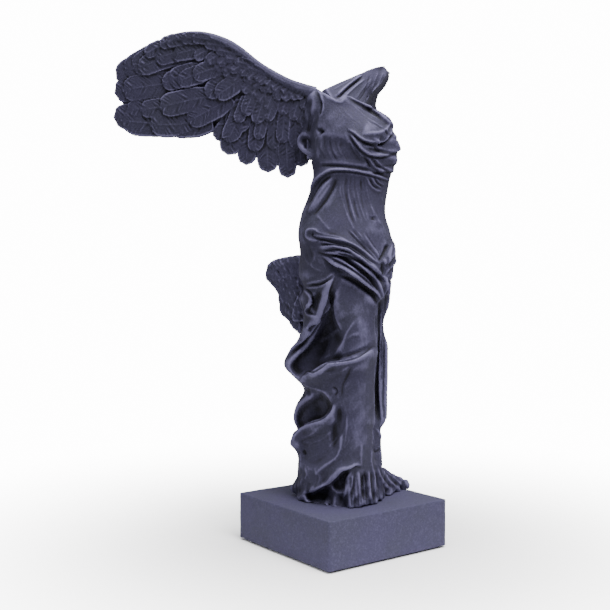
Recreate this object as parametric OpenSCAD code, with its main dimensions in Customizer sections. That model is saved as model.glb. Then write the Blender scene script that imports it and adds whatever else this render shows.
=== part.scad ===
// Winged draped figure on a square plinth: a cast statuette that comes apart into
// its castings, the steel dowels between them, and the bolt that holds it to its plinth.
// Millimetres. +Z is up, the figure faces -Y, and the origin is at the middle of the underside.

/* [Plinth] */
// Width and depth of the square plinth
plinth_w = 90; // [86:1:110]
// Height of the plinth's top face above the surface that it stands on
plinth_h = 29; // [26:1:36]
// Radius of the plinth's upright edges
plinth_edge_r = 1.6; // [0.5:0.1:4]
// Thickness of the felt sheet under the plinth
felt_t = 1; // [0.6:0.1:2]
// Gap from the plinth's edge to the felt's edge
felt_inset = 2.5; // [1:0.5:6]

/* [Figure] */
// Height of the right shoulder above the plinth
figure_h = 244; // [220:1:270]
// Points around each ring of the figure
ring_points = 52; // [44:4:72]
// Vertical distance between rings of the figure
ring_step = 5.4; // [4.4:0.1:8]

/* [Wings] */
// Direction of the right wing in plan, from +X towards +Y
right_wing_angle = 143; // [138:1:148]
// Direction of the left wing in plan, from +X towards +Y
left_wing_angle = 39; // [36:1:44]
// How far the top edge of a wing leans forward
wing_lean = 9; // [4:1:14]
// How far the wing's tip curves back
wing_sweep = 7; // [0:1:14]
// Play between a root and its pocket, on each side
root_play = 0.25; // [0.1:0.05:0.4]

/* [Hardware] */
// Radius of the bolt's shank
bolt_r = 3; // [2.5:0.5:4]
// Length of the bolt's shank
bolt_l = 33; // [30:1:36]
// Radius of the dowels in the wings and the mantle's end
dowel_r = 1.5; // [1:0.25:2]
// Length of those dowels
dowel_l = 15; // [12:1:18]
// Radial clearance of each dowel and of the bolt in its hole
hole_play = 0.05; // [0.03:0.01:0.1]

/* [Hidden] */

$fn = 48;
drawn_h = 244;                       // shoulder height at which the tables below are drawn
k = figure_h / drawn_h;              // scale of the castings above the plinth
stone = [0.30, 0.29, 0.38];
steel = [0.62, 0.63, 0.65];
brass = [0.78, 0.62, 0.30];
felt = [0.10, 0.10, 0.12];

// Counterbore, washer, bolt head and insert
counterbore_r = 9;
counterbore_d = 9;
washer_r = 7;
washer_t = 1.2;
head_across_flats = 10;
head_h = 4;
insert_r = 4.5;
insert_l = 15;
plinth_dowel_r = 2;
plinth_dowel_l = 18;
plinth_dowel_spots = [[-15, -9], [11, 10]];

// Roots: how deep each one reaches towards the axis, its thickness, lowest and highest point
wing_root = [12, 12, 204, 233];
mantle_root = [18, 9, 106, 138];
left_wing_out = 8.5;                 // the left wing starts this much further from the axis
wing_dowel_heights = [211, 226];
mantle_dowel_height = 122;
mantle_angle = 113.5;

// Figure: height above the plinth, centre x and y, half width, half depth, turn to its left
body_rows = [
    [0, -3.2, -2.6, 26, 27, 0],
    [8, -3.2, -2.6, 25, 26.5, 0],
    [30, -3, -1.5, 24.5, 26, 0],
    [50, -2.8, -1.5, 25.5, 26, 0],
    [70, -2.6, -1.8, 25.5, 26.5, 0],
    [100, -1, -3, 24.5, 25.5, 0],
    [120, 0, -3, 27, 26.5, 2],
    [138, 0.4, -2.8, 29, 27.5, 4],
    [150, 0.4, -2, 29.5, 26.5, 6],
    [162, 0.4, -1.5, 29, 25, 8],
    [176, 1, -0.8, 26.5, 22.5, 10],
    [190, 4.2, -3.2, 24.5, 20.5, 10],
    [197, 4.8, -3.5, 25, 21.5, 10],
    [205, 5, -3.8, 27.5, 22, 10],
    [216, 5, -3.8, 27.5, 22, 10],
    [225, 4.2, -2.6, 26.5, 20, 10],
    [232, 1.5, -0.6, 24, 17.5, 10],
];

// Raised and sunk forms on the figure: angle from the front towards its left, height,
// half angle, half height, rise, and how many degrees the form turns for each mm that it climbs
body_forms = [
    [-20, 55, 22, 62, 4.5, 0],       // right leg
    [-16, 98, 26, 18, 2.5, 0],       // right thigh and knee
    [23, 75, 7, 42, -6.5, 0],        // channel beside the right leg
    [40, 78, 12, 48, 3, 0],          // bunched mantle between the legs
    [6, 160, 30, 15, 3, 0],          // belly
    [40, 210, 22, 9, 7, 0],          // left breast
    [-16, 213, 22, 11, 5, 0],        // right breast
    [160, 148, 34, 20, 4, 0],        // left buttock
    [-150, 146, 30, 20, 3, 0],       // right buttock
    [140, 14, 42, 34, 9, 0],         // hem that trails behind the left leg
    [100, 70, 25, 40, 3, 0],         // left leg
    [76, 2, 13, 9, 14, 0],           // pooled hem in front of the left foot
    [-122, 81, 22, 9, 8, 0],         // first swirl
    [-76, 92, 17, 15, -8, 0.9],      // hollow below it
    [-4, 87, 16, 5, 1.5, 3],         // edge that crosses the knee
    [-40, 82, 20, 5, 3, 3],
    [-75, 76, 20, 5, 4, 3],
    [-105, 71, 16, 6, 4, 2],
    [-80, 52, 18, 9, -7, 1],         // second hollow
    [-126, 48, 14, 9, 3, 0],         // second swirl
    [-85, 43, 18, 4, 4, 3],          // edge below the second hollow
    [-117, 33, 15, 6, 6, 0],         // third swirl
    [-62, 8, 12, 8, -5, 1],          // hollow above the right foot
    [-80, 158, 20, 6, 2, 2],         // rolled mantle, from the right hip down to the knot
    [-45, 150, 20, 7, 3, 2],
    [-14, 140, 20, 8, 4, 2],
    [16, 127, 16, 8, 4.5, 2],
    [24, 140, 10, 10, 4, 0],
    [150, 150, 50, 7, 2.5, 0],
    [-100, 128, 20, 6, 2, 1],
    [-130, 213, 12, 9, 4, 0],        // loop of the overfold under the right shoulder
];

// Shoulders and neck close the figure: share of the last ring's size, and height
cap_rows = [[0.97, 234.5], [0.9, 237.5], [0.8, 239], [0.64, 239.5], [0.44, 239], [0.26, 240], [0.1, 240.5]];
shoulders = [[-88, 5], [80, -6]];    // angle, rise
shoulder_spread = 40;

// Wing: distance out from the figure's axis, height of the top edge, height of the lower edge
wing_rows = [
    [20, 244.5, 201.5], [28, 248.5, 198], [32, 250, 193.5], [38, 253, 198.5], [44, 256, 197],
    [51, 261, 204], [57, 266, 201.5], [62, 270.5, 209.5], [69, 274.5, 207.5], [76, 277, 219],
    [80, 278, 224], [90, 279, 221], [100, 278.4, 219.5], [110, 274, 220], [118, 268, 220],
    [127, 263, 222], [133, 259, 225.5], [137, 253, 229.5], [139, 246, 233],
];
wing_thick = [[20, 6], [40, 5.5], [80, 4.5], [120, 3.4], [139, 2]];   // half thickness by distance
wing_ring = 26;
wing_stations = 46;

// Flying end of the mantle: distance out from the axis, top, lower edge
mantle_rows = [
    [31, 147.5, 97], [35, 147, 101], [39, 146, 105.5], [43, 145.2, 109],
    [46.5, 144.5, 113], [50, 143, 122], [53.5, 140.5, 127], [55.5, 136, 130],
];
mantle_ring = 20;
mantle_stations = 22;

function column(rows, c) = [for (r = rows) [r[0], r[c]]];
function wrap(a) = (a + 540) % 360 - 180;
function sum(v, i = 0) = i < len(v) ? v[i] + sum(v, i + 1) : 0;
function bell(x) = exp(-x * x);

// Rise of all forms at one angle and height
function form_rise(a, z) = sum([for (f = body_forms)
    abs(z - f[1]) < 3 * f[3]
        ? f[4] * bell(wrap(a - f[0] - f[5] * (z - f[1])) / f[2]) * bell((z - f[1]) / f[3])
        : 0]);
function ellipse_r(a, rx, ry) = rx * ry / sqrt(pow(ry * sin(a), 2) + pow(rx * cos(a), 2));
function body_ring(z) = let (
        cx = lookup(z, column(body_rows, 1)),
        cy = lookup(z, column(body_rows, 2)),
        rx = lookup(z, column(body_rows, 3)),
        ry = lookup(z, column(body_rows, 4)),
        turn = lookup(z, column(body_rows, 5))
    ) [for (i = [0:ring_points - 1]) let (
        a = i * 360 / ring_points,
        r = ellipse_r(a - turn, rx, ry) + form_rise(a, z)
    ) [cx + r * sin(a), cy - r * cos(a), z]];
function cap_ring(base, row) = let (c = [3, -1.5])
    [for (i = [0:ring_points - 1]) let (
        a = i * 360 / ring_points,
        rise = sum([for (s = shoulders) s[1] * bell(wrap(a - s[0]) / shoulder_spread)])
    ) [
        c[0] + (base[i][0] - c[0]) * row[0],
        c[1] + (base[i][1] - c[1]) * row[0],
        row[1] + rise * sin(min(1, row[0] * 1.3) * 90) * (row[0] > 0.9 ? 0.6 : 1)
    ]];

// Solid through a stack of rings with the same number of points, listed anticlockwise from above
module skin(rings) {
    n = len(rings[0]);
    m = len(rings);
    points = [for (r = rings) each r];
    sides = [for (j = [0:m - 2]) for (i = [0:n - 1]) let (
        p = j * n + i,
        q = j * n + (i + 1) % n
    ) each [[p, p + n, q + n], [p, q + n, q]]];
    polyhedron(concat(points), concat([[for (i = [0:n - 1]) i]], sides, [[for (i = [n - 1:-1:0]) (m - 1) * n + i]]));
}

// Flat blade in its own frame: x out from the axis, y towards its front face, z up
function blade_ring(u, top, low, half, lean, shift, count) = let (
        mid = (top + low) / 2,
        reach = (top - low) / 2
    ) [for (i = [0:count - 1]) let (
        a = i * 360 / count,
        up = cos(a),
        side = -sin(a)
    ) [
        u,
        shift + lean * up * reach / 36 + half * side * (0.75 + 0.25 * up),
        mid + reach * up
    ]];

function wing_centre(u) = -wing_sweep * pow(max(0, u - 30) / 109, 2);

module blade(rows, halves, stations, count, lean, end_share) {
    first = rows[0][0];
    last = rows[len(rows) - 1][0];
    skin([for (j = [0:stations]) let (u = first + (last - first) * j / stations)
        blade_ring(u, lookup(u, column(rows, 1)), lookup(u, column(rows, 2)),
            lookup(u, halves) * (j == stations ? end_share : 1), lean, wing_centre(u), count)]);
}

// Rectangular root that fits a pocket, from the given reach out to just inside the blade
module root_block(root, outer, play = 0) {
    translate([root[0] - play, -root[1] / 2 - play, root[2] - play])
        cube([outer - root[0] + play, root[1] + 2 * play, root[3] - root[2] + 2 * play]);
}

module dowel_hole(reach, z, play = hole_play) {
    translate([reach - dowel_l / 2, 0, z])
        rotate([0, 90, 0])
            cylinder(r = dowel_r + play, h = dowel_l);
}

module on_plinth() {
    translate([0, 0, plinth_h]) scale(k) children();
}

module wing_blade() {
    blade(wing_rows, wing_thick, wing_stations, wing_ring, wing_lean, 0.5);
}

module wing() {
    difference() {
        union() {
            wing_blade();
            root_block(wing_root, wing_rows[0][0] + 1);
        }
        for (z = wing_dowel_heights) dowel_hole(wing_root[0], z);
    }
}

module at_right_wing() {
    on_plinth() rotate(right_wing_angle) children();
}

module at_left_wing() {
    on_plinth() rotate(left_wing_angle) translate([left_wing_out, 0, 0]) mirror([0, 1, 0]) children();
}

module at_mantle_end() {
    on_plinth() rotate(mantle_angle) children();
}

module wing_pocket() {
    root_block(wing_root, 60, root_play);
    for (z = wing_dowel_heights) dowel_hole(wing_root[0], z);
}

module rounded_slab(w, h, r) {
    linear_extrude(h) union() {
        square([w - 2 * r, w], center = true);
        square([w, w - 2 * r], center = true);
        for (x = [-1, 1], y = [-1, 1]) translate([x, y] * (w / 2 - r)) circle(r);
    }
}

module plinth_dowel(play) {
    for (p = plinth_dowel_spots)
        translate([p[0], p[1], plinth_h - plinth_dowel_l / 2])
            cylinder(r = plinth_dowel_r + play, h = plinth_dowel_l);
}

module plinth() {
    color(stone) difference() {
        translate([0, 0, felt_t]) rounded_slab(plinth_w, plinth_h - felt_t, plinth_edge_r);
        translate([0, 0, felt_t - 1]) cylinder(r = counterbore_r, h = counterbore_d + 1);
        cylinder(r = bolt_r + 0.3, h = plinth_h + 1);
        plinth_dowel(hole_play);
    }
}

module figure_body() {
    last = body_rows[len(body_rows) - 1][0];
    count = floor(last / ring_step);
    rings = [for (j = [0:count]) body_ring(last * j / count)];
    caps = [for (row = cap_rows) cap_ring(rings[count], row)];
    color(stone) difference() {
        on_plinth() skin(concat(rings, caps));
        at_right_wing() wing_pocket();
        at_left_wing() wing_pocket();
        at_mantle_end() {
            root_block(mantle_root, 60, root_play);
            dowel_hole(mantle_root[0], mantle_dowel_height);
        }
        translate([0, 0, plinth_h - 1]) cylinder(r = insert_r, h = insert_l + 1);
        plinth_dowel(hole_play);
    }
}

module right_wing() {
    color(stone) at_right_wing() wing();
}

module left_wing() {
    color(stone) at_left_wing() wing();
}

module mantle_end() {
    color(stone) at_mantle_end() difference() {
        union() {
            blade(mantle_rows, [[31, 5], [45, 4.5], [55.5, 2.5]], mantle_stations, mantle_ring, 4, 0.6);
            root_block(mantle_root, mantle_rows[0][0] + 1);
        }
        dowel_hole(mantle_root[0], mantle_dowel_height);
    }
}

module right_wing_dowels() {
    color(steel) at_right_wing()
        for (z = wing_dowel_heights) dowel_hole(wing_root[0], z, 0);
}

module left_wing_dowels() {
    color(steel) at_left_wing()
        for (z = wing_dowel_heights) dowel_hole(wing_root[0], z, 0);
}

module mantle_dowel() {
    color(steel) at_mantle_end() dowel_hole(mantle_root[0], mantle_dowel_height, 0);
}

module plinth_dowels() {
    color(steel) plinth_dowel(0);
}

module threaded_insert() {
    color(brass) translate([0, 0, plinth_h]) difference() {
        cylinder(r = insert_r, h = insert_l);
        translate([0, 0, -1]) cylinder(r = bolt_r + hole_play, h = insert_l + 2);
    }
}

module washer() {
    color(steel) translate([0, 0, felt_t + counterbore_d - washer_t]) difference() {
        cylinder(r = washer_r, h = washer_t);
        translate([0, 0, -1]) cylinder(r = bolt_r + 0.2, h = washer_t + 2);
    }
}

module mounting_bolt() {
    under_head = felt_t + counterbore_d - washer_t;
    color(steel) union() {
        translate([0, 0, under_head - head_h])
            cylinder(r = head_across_flats / sqrt(3), h = head_h, $fn = 6);
        translate([0, 0, under_head - 0.5]) cylinder(r = bolt_r, h = bolt_l + 0.5);
    }
}

module felt_pad() {
    color(felt) rounded_slab(plinth_w - 2 * felt_inset, felt_t, plinth_edge_r);
}

plinth();
figure_body();
right_wing();
left_wing();
mantle_end();
right_wing_dowels();
left_wing_dowels();
mantle_dowel();
plinth_dowels();
threaded_insert();
mounting_bolt();
washer();
felt_pad();
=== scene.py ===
import math
import random

import bpy
import numpy as np
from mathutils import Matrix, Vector


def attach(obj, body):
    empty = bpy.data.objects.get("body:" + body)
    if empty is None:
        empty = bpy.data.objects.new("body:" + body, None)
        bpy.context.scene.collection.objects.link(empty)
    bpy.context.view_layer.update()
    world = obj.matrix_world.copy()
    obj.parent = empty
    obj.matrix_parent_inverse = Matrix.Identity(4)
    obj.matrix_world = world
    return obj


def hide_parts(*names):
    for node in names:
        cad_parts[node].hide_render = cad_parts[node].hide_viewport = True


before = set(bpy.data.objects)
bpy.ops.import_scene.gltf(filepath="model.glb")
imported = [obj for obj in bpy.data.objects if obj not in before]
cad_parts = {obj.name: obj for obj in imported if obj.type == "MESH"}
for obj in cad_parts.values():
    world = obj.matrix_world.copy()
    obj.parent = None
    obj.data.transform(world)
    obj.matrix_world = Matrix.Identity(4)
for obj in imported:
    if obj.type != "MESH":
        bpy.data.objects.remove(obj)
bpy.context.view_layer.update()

mm = 0.001
print("frame loaded:", len(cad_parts), "castings and fittings")

# the view

shot = {
    "turn": -36.8,          # degrees round from the front, minus is the figure's right
    "rise": 1.7,
    "distance": 585,        # mm
    "aimAcross": -22.1,     # mm along the picture plane from the figure's axis
    "aimHeight": 145.4,
    "lens": 56.95,
}


def viewAxes(turn, rise=0.0):
    a = math.radians(turn)
    e = math.radians(rise)
    back = np.array([math.sin(a) * math.cos(e), -math.cos(a) * math.cos(e), math.sin(e)])
    across = np.array([math.cos(a), math.sin(a), 0.0])
    return across, back, np.cross(back, across)


def placeCamera():
    across, back, _ = viewAxes(shot["turn"], shot["rise"])
    aim = across * shot["aimAcross"] + np.array([0, 0, shot["aimHeight"]])
    eye = aim + back * shot["distance"]
    bpy.ops.object.camera_add(location=Vector(eye) * mm)
    camera = bpy.context.object
    camera.name = "portraitCamera"
    camera.rotation_euler = Vector(back).to_track_quat("Z", "Y").to_euler()
    camera.data.lens = shot["lens"]
    camera.data.sensor_width = 36
    camera.data.clip_start = 0.01
    bpy.context.scene.camera = camera
    return eye


eyePoint = placeCamera()


# shader tools

class Num:
    def __init__(self, tree, socket):
        self.tree = tree
        self.socket = socket

    def calc(self, operation, a, b):
        step = self.tree.nodes.new("ShaderNodeMath")
        step.operation = operation
        for slot, value in zip(step.inputs, (a, b)):
            if isinstance(value, Num):
                self.tree.links.new(value.socket, slot)
            else:
                slot.default_value = value
        return Num(self.tree, step.outputs[0])

    def __add__(self, other):
        return self.calc("ADD", self, other)

    def __sub__(self, other):
        return self.calc("SUBTRACT", self, other)

    def __rsub__(self, other):
        return self.calc("SUBTRACT", other, self)

    def __mul__(self, other):
        return self.calc("MULTIPLY", self, other)

    __radd__ = __add__


class Finish:
    def __init__(self, name):
        self.material = bpy.data.materials.new(name)
        self.material.use_nodes = True
        self.tree = self.material.node_tree
        self.tree.nodes.clear()

    def put(self, kind, settings=None, sockets=None, out=0):
        node = self.tree.nodes.new("ShaderNode" + kind)
        for key, value in (settings or {}).items():
            setattr(node, key, value)
        for key, value in (sockets or {}).items():
            if isinstance(value, Num):
                self.tree.links.new(value.socket, node.inputs[key])
            else:
                node.inputs[key].default_value = value
        return Num(self.tree, node.outputs[out]) if len(node.outputs) else node

    def noise(self, place, scale, detail=3.0, rough=0.55):
        sockets = {"Vector": place, "Scale": scale, "Detail": detail, "Roughness": rough}
        return self.put("TexNoise", None, sockets)

    def mix(self, share, a, b, blend="MIX"):
        return self.put("Mix", {"data_type": "RGBA", "blend_type": blend}, {0: share, 6: a, 7: b}, out=2)

    def ramp(self, value, low, high):
        return self.put("MapRange", {"interpolation_type": "SMOOTHSTEP"},
                        {"Value": value, "From Min": low, "From Max": high})

    def close(self, colour, roughness, height, depth, **constants):
        bump = self.put("Bump", None, {"Height": height, "Distance": depth, "Strength": 1.0})
        sockets = {"Base Color": colour, "Roughness": roughness, "Normal": bump}
        for key, value in constants.items():
            sockets[key.replace("_", " ")] = value
        shader = self.put("BsdfPrincipled", None, sockets)
        self.put("OutputMaterial", None, {"Surface": shader})
        return self.material


castStone = {
    # dark colour: the dark grain, and the painted shade in hollows
    "deep": (0.003, 0.003, 0.004),
    "body": (0.0235, 0.0215, 0.0455),
    # light colour: the light specks, and the painted highlight on ridges and rims
    "edge": (0.110, 0.102, 0.185),
    "cool": (0.0205, 0.0210, 0.034),
    "roughness": 0.82,
    "grain": 2300,          # per metre
    "speck": 900,
    "blotch": 38,
    "coolShare": 0.55,
    "speckShare": 0.13,
    "grainShare": 0.34,
    "paintedHighlightShare": 0.86,      # how far ridges take the light colour: painted highlight, partly rubbed wear
    "deepShare": 0.82,      # how far hollows take the dark colour: painted shade
    "bump": 0.00022,        # metres
}


# The last argument scales the painted highlight and the painted shade
def castStoneFinish(name, tint=1.0, paintedLightContrast=1.0):
    f = Finish(name)
    place = f.put("TexCoord", None, None, out=3)
    blotch = f.noise(place, castStone["blotch"], 4)
    speck = f.noise(place, castStone["speck"], 2)
    grain = f.noise(place, castStone["grain"], 2, 0.7)
    shade = [tuple(c * tint for c in castStone[k]) + (1,) for k in ("deep", "body", "edge", "cool")]
    colour = f.mix(f.ramp(blotch, 0.35, 0.7) * castStone["coolShare"], shade[1], shade[3])
    colour = f.mix(f.ramp(speck, 0.42, 0.75) * castStone["speckShare"], colour, shade[2])
    colour = f.mix(f.ramp(1 - grain, 0.45, 0.75) * castStone["grainShare"], colour, shade[0])
    relief = f.put("Attribute", {"attribute_name": "relief"}, None, out=2)
    uneven = (speck - 0.5) * 0.12
    # painted highlight: ridges and feather rims lightened towards the light colour
    paintedHighlight = f.ramp(relief + uneven, 0.55, 0.98) * (castStone["paintedHighlightShare"] * paintedLightContrast)
    colour = f.mix(paintedHighlight, colour, shade[2])
    # painted shade: hollows and creases darkened towards the dark colour
    paintedShade = f.ramp(1 - relief + uneven, 0.54, 0.88) * (castStone["deepShare"] * paintedLightContrast)
    colour = f.mix(paintedShade, colour, shade[0])
    middle = castStone["roughness"]
    roughness = f.put("MapRange", None, {"Value": speck, "From Min": 0.3, "From Max": 0.7,
                                         "To Min": middle - 0.1, "To Max": middle + 0.1})
    height = grain * 0.6 + speck * 0.9 + f.noise(place, 260, 3) * 0.8
    return f.close(colour, roughness, height, castStone["bump"], **{"Specular_IOR_Level": 0.22})


# mesh tools, lengths in mm

def deselectAll():
    if bpy.context.object and bpy.context.object.mode != "OBJECT":
        bpy.ops.object.mode_set(mode="OBJECT")
    bpy.ops.object.select_all(action="DESELECT")


def activate(obj):
    deselectAll()
    obj.select_set(True)
    bpy.context.view_layer.objects.active = obj


def applyModifier(obj, kind, **settings):
    activate(obj)
    modifier = obj.modifiers.new(kind.title(), kind)
    for key, value in settings.items():
        setattr(modifier, key, value)
    bpy.ops.object.modifier_apply(modifier=modifier.name)


def settle(obj):
    activate(obj)
    bpy.ops.object.transform_apply(location=True, rotation=True, scale=True)
    return obj


def mergedCopy(node, name):
    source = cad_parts[node]
    deselectAll()
    copied = bpy.data.objects.new(name, source.data.copy())
    bpy.context.scene.collection.objects.link(copied)
    activate(copied)
    bpy.ops.object.mode_set(mode="EDIT")
    bpy.ops.mesh.select_all(action="SELECT")
    bpy.ops.mesh.remove_doubles(threshold=0.00001)
    bpy.ops.object.mode_set(mode="OBJECT")
    return copied


def ball(centre, radii, turn=0.0):
    deselectAll()
    bpy.ops.mesh.primitive_uv_sphere_add(segments=32, ring_count=20, radius=1)
    piece = bpy.context.object
    piece.location = Vector(centre) * mm
    piece.scale = Vector(radii) * mm
    piece.rotation_euler = (0, 0, math.radians(turn))
    return settle(piece)


def rope(points, radii):
    curve = bpy.data.curves.new("rope", "CURVE")
    curve.dimensions = "3D"
    curve.bevel_depth = mm
    curve.bevel_resolution = 3
    curve.use_fill_caps = True
    line = curve.splines.new("NURBS")
    line.points.add(len(points) - 1)
    line.use_endpoint_u = True
    line.order_u = 3
    for knot, place, radius in zip(line.points, points, radii):
        knot.co = (*(Vector(place) * mm), 1)
        knot.radius = radius
    obj = bpy.data.objects.new("rope", curve)
    bpy.context.scene.collection.objects.link(obj)
    activate(obj)
    bpy.ops.object.convert(target="MESH")
    return bpy.context.object


def joinAll(pieces, name):
    deselectAll()
    for piece in pieces:
        piece.select_set(True)
    bpy.context.view_layer.objects.active = pieces[0]
    if len(pieces) > 1:
        bpy.ops.object.join()
    joined = bpy.context.object
    joined.name = name
    joined.data.name = name
    return joined


def remesh(obj, size):
    applyModifier(obj, "REMESH", mode="VOXEL", voxel_size=size * mm, use_smooth_shade=True)


def keepUnder(obj, triangles):
    count = sum(len(p.vertices) - 2 for p in obj.data.polygons)
    if count > triangles:
        applyModifier(obj, "DECIMATE", ratio=triangles / count)


def readPoints(obj):
    flat = np.empty(len(obj.data.vertices) * 3, dtype=np.float32)
    obj.data.vertices.foreach_get("co", flat)
    return flat.reshape(-1, 3).astype(float) / mm


def writePoints(obj, points):
    obj.data.vertices.foreach_set("co", (points * mm).astype(np.float32).ravel())
    obj.data.update()


def readNormals(obj):
    flat = np.empty(len(obj.data.vertices) * 3, dtype=np.float32)
    obj.data.vertex_normals.foreach_get("vector", flat)
    return flat.reshape(-1, 3).astype(float)


def readEdges(obj):
    flat = np.empty(len(obj.data.edges) * 2, dtype=np.int32)
    obj.data.edges.foreach_get("vertices", flat)
    return flat.reshape(-1, 2)


def soften(values, edges, rounds, strength=0.6):
    count = len(values)
    ends = np.concatenate([edges[:, 0], edges[:, 1]])
    others = np.concatenate([edges[:, 1], edges[:, 0]])
    degree = np.maximum(np.bincount(ends, minlength=count), 1)
    out = values.astype(float).copy()
    columns = out.reshape(count, -1)
    for _ in range(rounds):
        around = np.stack([np.bincount(ends, weights=columns[others, k], minlength=count) / degree
                           for k in range(columns.shape[1])], axis=1)
        columns += strength * (around - columns)
    return columns.reshape(values.shape)


def smoothMesh(obj, rounds, strength=0.5):
    writePoints(obj, soften(readPoints(obj), readEdges(obj), rounds, strength))


def shadeSmooth(obj):
    activate(obj)
    bpy.ops.object.shade_smooth()


# relief: how far each point stands out from its smoothed surroundings, finely and broadly; the cast-stone
# finish paints highlight on high values and shade on low ones
def storeRelief(obj, fine=5, broad=40, reach=0.14, broadReach=1.2):
    points = readPoints(obj)
    edges = readEdges(obj)
    normals = soften(readNormals(obj), edges, 2)
    high = ((points - soften(points, edges, fine)) * normals).sum(axis=1)
    wide = ((points - soften(points, edges, broad)) * normals).sum(axis=1)
    value = 0.5 + 0.28 * np.tanh(high / reach) + 0.24 * np.tanh(wide / broadReach)
    value = soften(value, edges, 1)
    layer = obj.data.attributes.new("relief", "FLOAT", "POINT")
    layer.data.foreach_set("value", value.astype(np.float32))


def dressCasting(obj, material):
    shadeSmooth(obj)
    obj.data.materials.clear()
    obj.data.materials.append(material)


def crumple(points, wave, seed):
    # A bumpy value of about -1..1, the same every run
    draw = random.Random(seed)
    total = np.zeros(len(points))
    for _ in range(9):
        push = np.array([draw.gauss(0, 1) for _ in range(3)])
        push *= 2 * math.pi / (wave * draw.uniform(0.7, 1.5) * np.linalg.norm(push))
        total += np.sin(points @ push + draw.uniform(0, 6.28))
    return total / 3


# drawing folds on a casting

def smoothLine(points, steps=7):
    p = np.array(points, dtype=float)
    if len(p) < 3:
        t = np.linspace(0, 1, steps + 1)[:, None]
        return p[0] + (p[-1] - p[0]) * t
    p = np.vstack([2 * p[0] - p[1], p, 2 * p[-1] - p[-2]])
    out = []
    for a, b, c, d in zip(p[:-3], p[1:-2], p[2:-1], p[3:]):
        for t in np.arange(steps) / steps:
            out.append(0.5 * (2 * b + (c - a) * t + (2 * a - 5 * b + 4 * c - d) * t * t
                              + (3 * b - a - 3 * c + d) * t ** 3))
    out.append(p[-2])
    return np.array(out)


compass = {"u": (0, 1), "d": (0, -1), "l": (-1, 0), "r": (1, 0)}
strokeTaper = 0.22      # share of a fold's length over which it fades in at either end


def nearLine(spots, line):
    start = line[:-1]
    step = line[1:] - start
    length = np.maximum(np.linalg.norm(step, axis=1), 1e-6)
    rel = spots[:, None, :] - start[None]
    t = np.clip((rel * step[None]).sum(-1) / length ** 2, 0, 1)
    away = rel - t[..., None] * step[None]
    dist = np.linalg.norm(away, axis=-1)
    best = dist.argmin(axis=1)
    rows = np.arange(len(spots))
    along = np.concatenate([[0], np.cumsum(length)])
    travelled = along[best] + t[rows, best] * length[best]
    cross = step[best, 0] * rel[rows, best, 1] - step[best, 1] * rel[rows, best, 0]
    return dist[rows, best] * np.sign(cross), travelled, along[-1]


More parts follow.
